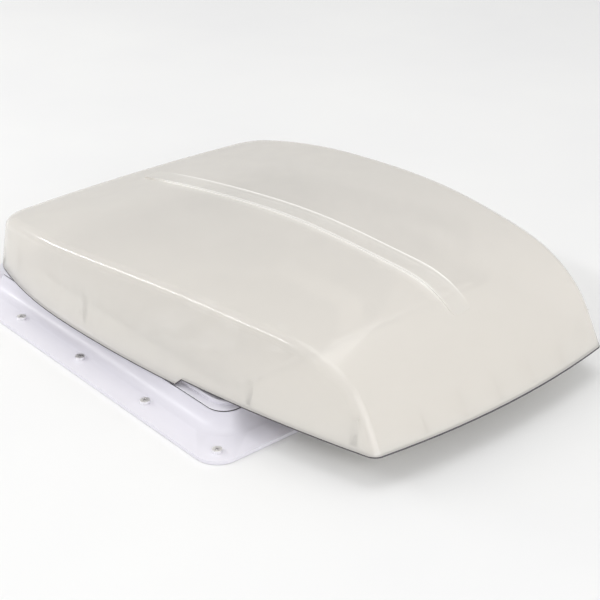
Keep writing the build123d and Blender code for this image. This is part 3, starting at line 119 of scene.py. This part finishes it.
class Tree:
    """A material's node tree with short calls for adding and linking nodes."""

    def __init__(self, name):
        self.material = bpy.data.materials.new(name)
        self.material.use_nodes = True
        self.tree = self.material.node_tree
        self.tree.nodes.clear()
        self.out = self.node("ShaderNodeOutputMaterial")

    def node(self, kind, inputs=None, **settings):
        made = self.tree.nodes.new(kind)
        for key, value in settings.items():
            setattr(made, key, value)
        for key, value in (inputs or {}).items():
            self.feed(made.inputs[key], value)
        return made

    def feed(self, socket, value):
        if isinstance(value, bpy.types.NodeSocket):
            self.tree.links.new(value, socket)
        else:
            socket.default_value = value

    def place(self):
        """Coordinates fixed to the piece, in metres."""
        return self.node("ShaderNodeTexCoord").outputs["Object"]

    def noise(self, scale, detail=3.0, roughness=0.55, where=None):
        made = self.node("ShaderNodeTexNoise", {
            "Scale": scale, "Detail": detail, "Roughness": roughness,
        })
        self.feed(made.inputs["Vector"], where or self.place())
        return made.outputs["Fac"]

    def ramp(self, value, low, high, start=0.0, end=1.0):
        """Value mapped from one range to another and held inside it."""
        made = self.node("ShaderNodeMapRange", {
            "Value": value, "From Min": low, "From Max": high, "To Min": start, "To Max": end,
        })
        return made.outputs["Result"]

    def math(self, operation, first, second=0.5):
        made = self.node("ShaderNodeMath", operation=operation)
        self.feed(made.inputs[0], first)
        self.feed(made.inputs[1], second)
        return made.outputs[0]

    def mix(self, share, first, second):
        """Two colours mixed, with the share of the second."""
        made = self.node("ShaderNodeMix", data_type="RGBA")
        self.feed(made.inputs["Factor"], share)
        self.feed(made.inputs["A"], first)
        self.feed(made.inputs["B"], second)
        return made.outputs["Result"]

    def blend(self, share, first, second):
        """Two shaders mixed, with the share of the second."""
        made = self.node("ShaderNodeMixShader", {0: share, 1: first, 2: second})
        return made.outputs["Shader"]

    def clear(self):
        """A shader that lets all light through."""
        return self.node("ShaderNodeBsdfTransparent").outputs["BSDF"]

    def bump(self, height, distance, strength):
        made = self.node("ShaderNodeBump", {
            "Strength": strength, "Distance": distance, "Height": height,
        })
        return made.outputs["Normal"]

    def edges(self, low, high):
        """How much a place is an outer edge."""
        return self.ramp(self.node("ShaderNodeNewGeometry").outputs["Pointiness"], low, high)

    def hollows(self, low, high):
        """How much a place is an inner corner."""
        return self.ramp(self.node("ShaderNodeNewGeometry").outputs["Pointiness"], high, low)

    def shader(self, **inputs):
        made = self.node("ShaderNodeBsdfPrincipled")
        for key, value in inputs.items():
            self.feed(made.inputs[key.replace("_", " ")], value)
        return made.outputs["BSDF"]

    def finish(self, shader):
        self.tree.links.new(shader, self.out.inputs["Surface"])
        return self.material


def plastic(name, colour, shade, roughness, grain=900.0, depth=0.00005):
    """Moulded plastic: fine grain, faint flow patches, dust in the corners and rubbed edges."""
    t = Tree(name)
    patches = t.ramp(t.noise(scale=14.0, detail=4.0), low=0.35, high=0.68)
    base = t.mix(t.math("MULTIPLY", patches, PATCH_SHARE), linear(*colour), linear(*shade))
    dust = t.math("MULTIPLY", t.hollows(*CORNERS), DUST_SHARE)
    dusty = t.mix(dust, base, linear(*shade))
    wear = t.math("MULTIPLY", t.edges(*PLASTIC_EDGES), WEAR_SHARE)
    rubbed = t.mix(wear, dusty, linear(*lighter(colour, PLASTIC_WEAR)))
    rough = t.ramp(
        t.noise(scale=55.0), low=0.3, high=0.7, start=roughness - 0.05, end=roughness + 0.09,
    )
    normal = t.bump(t.noise(scale=grain, detail=2.0), distance=depth, strength=0.5)
    return t.finish(t.shader(Base_Color=rubbed, Roughness=rough, Normal=normal))


def metal(name, colour, shade, roughness, stretch=(1, 1, 30)):
    """Brushed or pressed metal with streaks, small stains and brighter edges."""
    t = Tree(name)
    mapping = t.node("ShaderNodeMapping", {"Vector": t.place(), "Scale": stretch})
    streaks = t.noise(
        scale=260.0, detail=4.0, roughness=0.7, where=mapping.outputs["Vector"],
    )
    base = t.mix(t.ramp(streaks, low=0.3, high=0.7), linear(*colour), linear(*shade))
    stains = t.ramp(t.noise(scale=60.0), low=0.55, high=0.75)
    stained = t.mix(t.math("MULTIPLY", stains, STAIN_SHARE), base, linear(*shade))
    bright = t.mix(t.edges(*METAL_EDGES), stained, linear(*lighter(colour, METAL_WEAR)))
    rough = t.ramp(streaks, low=0.2, high=0.8, start=roughness - 0.08, end=roughness + 0.12)
    normal = t.bump(streaks, distance=0.00003, strength=0.5)
    return t.finish(t.shader(Base_Color=bright, Metallic=1.0, Roughness=rough, Normal=normal))


def lid_plastic():
    """Cream, slightly see-through plastic: flow patches, fine grain, rubbed edges, and a painted
    highlight with a faint painted glow along the spine's two edges."""
    t = Tree("lid_cream")
    patches = t.ramp(t.noise(scale=5.0, detail=2.0), low=0.35, high=0.7)
    flow = t.math("MULTIPLY", patches, LID_PATCH_SHARE)
    base = t.mix(flow, linear(*LID_CREAM), linear(*LID_SHADE))
    wear = t.math("MULTIPLY", t.edges(*LID_EDGES), LID_WEAR_SHARE)
    rubbed = t.mix(wear, base, linear(*LID_RUBBED))

    # Painted highlight: a thin band along both edges of the spine, on its crown and between its
    # ends, is made near white and given a faint glow
    where = t.node("ShaderNodeSeparateXYZ", {0: t.place()}).outputs
    off = t.math("ABSOLUTE", t.math("SUBTRACT", t.math("ABSOLUTE", where["Y"]), SPINE_HALF))
    start = t.ramp(where["X"], SPINE_ENDS[0], SPINE_ENDS[0] + SPINE_FADE)
    stop = t.ramp(where["X"], SPINE_ENDS[1], SPINE_ENDS[1] - SPINE_FADE)
    crown = t.math("GREATER_THAN", where["Z"], SPINE_FLOOR)
    line = t.math("MULTIPLY", t.ramp(off, SPINE_EDGE, 0.0), crown)
    spine_highlight = t.math("MULTIPLY", line, t.math("MULTIPLY", start, stop))

    # The skin, with the painted highlight and its faint painted glow on the spine's edges
    skin = t.shader(
        Base_Color=t.mix(spine_highlight, rubbed, linear(*SPINE_HIGHLIGHT_PAINT)),
        Roughness=t.ramp(t.noise(scale=40.0), 0.3, 0.7, *LID_ROUGHNESS),
        Normal=t.bump(t.noise(scale=1300.0, detail=2.0), distance=0.00002, strength=0.25),
        Coat_Weight=LID_COAT,
        Coat_Roughness=LID_COAT_ROUGHNESS,
        Emission_Color=linear(*SPINE_PAINTED_GLOW),
        Emission_Strength=t.math("MULTIPLY", spine_highlight, SPINE_PAINTED_GLOW_STRENGTH),
    )
    glow = t.node("ShaderNodeBsdfTranslucent", {"Color": linear(*LID_GLOW)}).outputs["BSDF"]
    body = t.blend(LID_GLOW_SHARE, skin, glow)
    return t.finish(t.blend(LID_CLEAR_SHARE, body, t.clear()))


def smoked(name, colour, shade, clear):
    """Thin see-through plastic with a fine grain."""
    t = Tree(name)
    tone = t.ramp(t.noise(scale=30.0), low=0.35, high=0.68)
    base = t.mix(tone, linear(*colour), linear(*shade))
    normal = t.bump(t.noise(scale=900.0, detail=2.0), distance=0.00005, strength=0.5)
    skin = t.shader(Base_Color=base, Roughness=0.4, Normal=normal)
    return t.finish(t.blend(clear, skin, t.clear()))


def rubber(name, colour, shade):
    """Matt rubber with a fine grain and a dusty tone in patches."""
    t = Tree(name)
    tone = t.ramp(t.noise(scale=120.0, detail=4.0), low=0.3, high=0.7)
    base = t.mix(tone, linear(*colour), linear(*shade))
    rough = t.ramp(t.noise(scale=300.0), low=0.3, high=0.7, start=0.6, end=0.85)
    normal = t.bump(t.noise(scale=1500.0), distance=0.00005, strength=0.6)
    return t.finish(t.shader(Base_Color=base, Roughness=rough, Normal=normal))


# One material for each slot of the record, with its main colour and its shade
looks = {
    "lid_plastic": lid_plastic(),
    "inner_plastic": plastic("inner_white", (232, 230, 226), (220, 217, 212), 0.42),
    "seal_rubber": rubber("seal_black", (38, 38, 40), (60, 59, 58)),
    "edging_rubber": rubber("edging_grey", (74, 71, 76), (88, 85, 89)),
    "flange_plastic": plastic("flange_white", (230, 228, 236), (222, 220, 228), 0.34),
    "screw_steel": metal("screw_bright", (232, 231, 232), (206, 205, 206), 0.3),
    "hood_plastic": smoked("hood_smoke", (176, 174, 168), (160, 158, 152), HOOD_CLEAR_SHARE),
    "motor_metal": plastic("motor_black", (44, 44, 46), (60, 60, 60), 0.4),
    "fan_plastic": plastic("fan_grey", (140, 141, 142), (124, 125, 126), 0.4),
    "arm_metal": metal("arm_zinc", (190, 191, 194), (160, 161, 164), 0.34, stretch=(1, 1, 1)),
    "gear_brass": metal("gear_brass", (214, 184, 118), (176, 146, 84), 0.3, stretch=(1, 20, 1)),
    "gear_housing": plastic("gear_grey", (74, 75, 77), (60, 61, 63), 0.45),
    "trim_plastic": plastic(
        "trim_white", (236, 235, 233), (226, 225, 222), 0.36, grain=1400.0, depth=0.00008,
    ),
    "net_mesh": plastic("net_grey", (58, 58, 60), (46, 46, 48), 0.55),
    "panel_plastic": plastic("panel_grey", (206, 206, 207), (194, 194, 195), 0.36),
    "board_green": plastic("board_green", (34, 94, 58), (26, 76, 48), 0.4),
    "button_plastic": plastic("button_grey", (92, 93, 96), (78, 79, 82), 0.4),
}
slot_of = {part["node"]: part["material_slot"] for part in frame["record"]["subparts"]}
for name, node in nodes.items():
    node.data.materials.clear()
    node.data.materials.append(looks[slot_of[name]])
    for polygon in node.data.polygons:
        polygon.material_index = 0


def roof_panel():
    """The roof round the opening, pale as in the photograph. It is staged, not part of the vent."""
    mesh = bpy.data.meshes.new("roof_panel")
    corners = [
        (along * half, across * half, -PANEL_DROP)
        for half in (PANEL_HALF, OPENING_HALF)
        for along, across in ((-1, -1), (1, -1), (1, 1), (-1, 1))
    ]
    sides = [(n, (n + 1) % 4, 4 + (n + 1) % 4, 4 + n) for n in range(4)]
    mesh.from_pydata(corners, [], sides)
    panel = bpy.data.objects.new("roof_panel", mesh)
    bpy.context.scene.collection.objects.link(panel)
    t = Tree("roof_pale")
    tone = t.ramp(t.noise(scale=3.0), low=0.3, high=0.7)
    base = t.mix(tone, linear(*PANEL_PALE), linear(*PANEL_SHADE))
    normal = t.bump(t.noise(scale=700.0), distance=0.00005, strength=0.4)
    mesh.materials.append(t.finish(t.shader(Base_Color=base, Roughness=0.6, Normal=normal)))


def area_lamp(name, shape, power):
    data = bpy.data.lights.new(name, "AREA")
    data.shape = shape
    data.energy = power
    made = bpy.data.objects.new(name, data)
    bpy.context.scene.collection.objects.link(made)
    return made


def lamp(name, place, size, power):
    """A soft square lamp at a place, facing the lamps' target."""
    made = area_lamp(name, "SQUARE", power)
    made.data.size = size
    made.location = place
    made.rotation_mode = "QUATERNION"
    made.rotation_quaternion = (Vector(place) - Vector(LAMP_TARGET)).to_track_quat("Z", "Y")


def strip_lamp(name, start, end, width, power):
    """A long narrow lamp from one place to another, facing the lamps' target. It draws the thin
    highlight along the lid's shoulder."""
    start, end = Vector(start), Vector(end)
    middle = (start + end) / 2
    along = (end - start).normalized()
    back = middle - Vector(LAMP_TARGET)
    back = (back - along * back.dot(along)).normalized()
    made = area_lamp(name, "RECTANGLE", power)
    made.data.size = (end - start).length
    made.data.size_y = width
    made.matrix_world = Matrix((along, back.cross(along), back)).transposed().to_4x4()
    made.location = middle


def world():
    """White to the camera, a little dimmer as light, and dimmer still from below the roof."""
    made = bpy.data.worlds.new("studio")
    made.use_nodes = True
    tree = made.node_tree
    tree.nodes.clear()

    def background(strength):
        node = tree.nodes.new("ShaderNodeBackground")
        node.inputs["Strength"].default_value = strength
        return node.outputs[0]

    def blend(share, first, second):
        node = tree.nodes.new("ShaderNodeMixShader")
        for number, value in enumerate((share, first, second)):
            tree.links.new(value, node.inputs[number])
        return node.outputs[0]

    camera_ray = tree.nodes.new("ShaderNodeLightPath").outputs["Is Camera Ray"]
    sky = blend(camera_ray, background(WORLD_LIGHT), background(SEEN_LIGHT))
    direction = tree.nodes.new("ShaderNodeSeparateXYZ")
    towards = tree.nodes.new("ShaderNodeTexCoord").outputs["Generated"]
    tree.links.new(towards, direction.inputs[0])
    above = tree.nodes.new("ShaderNodeMath")
    above.operation = "GREATER_THAN"
    above.inputs[1].default_value = 0.0
    tree.links.new(direction.outputs["Z"], above.inputs[0])
    out = tree.nodes.new("ShaderNodeOutputWorld")
    whole = blend(above.outputs[0], background(ROOM_LIGHT), sky)
    tree.links.new(whole, out.inputs["Surface"])
    bpy.context.scene.world = made


def camera():
    """The camera that took the photograph, as solved from the flange and its screws."""
    turn, rise = math.radians(CAMERA_AZIMUTH), math.radians(CAMERA_ELEVATION)
    level = math.cos(rise)
    back = Vector((math.sin(turn) * level, -math.cos(turn) * level, math.sin(rise)))
    data = bpy.data.cameras.new("camera")
    data.lens = LENS
    data.sensor_width = SENSOR
    made = bpy.data.objects.new("camera", data)
    made.location = CAMERA_PLACE
    made.rotation_mode = "QUATERNION"
    made.rotation_quaternion = back.to_track_quat("Z", "Y")
    bpy.context.scene.collection.objects.link(made)
    bpy.context.scene.camera = made


roof_panel()
world()
strip_lamp("key", KEY_START, KEY_END, KEY_WIDTH, KEY_POWER)
lamp("top", TOP_PLACE, TOP_SIZE, TOP_POWER)
lamp("fill", FILL_PLACE, FILL_SIZE, FILL_POWER)
camera()
bpy.context.scene.view_settings.view_transform = "Standard"
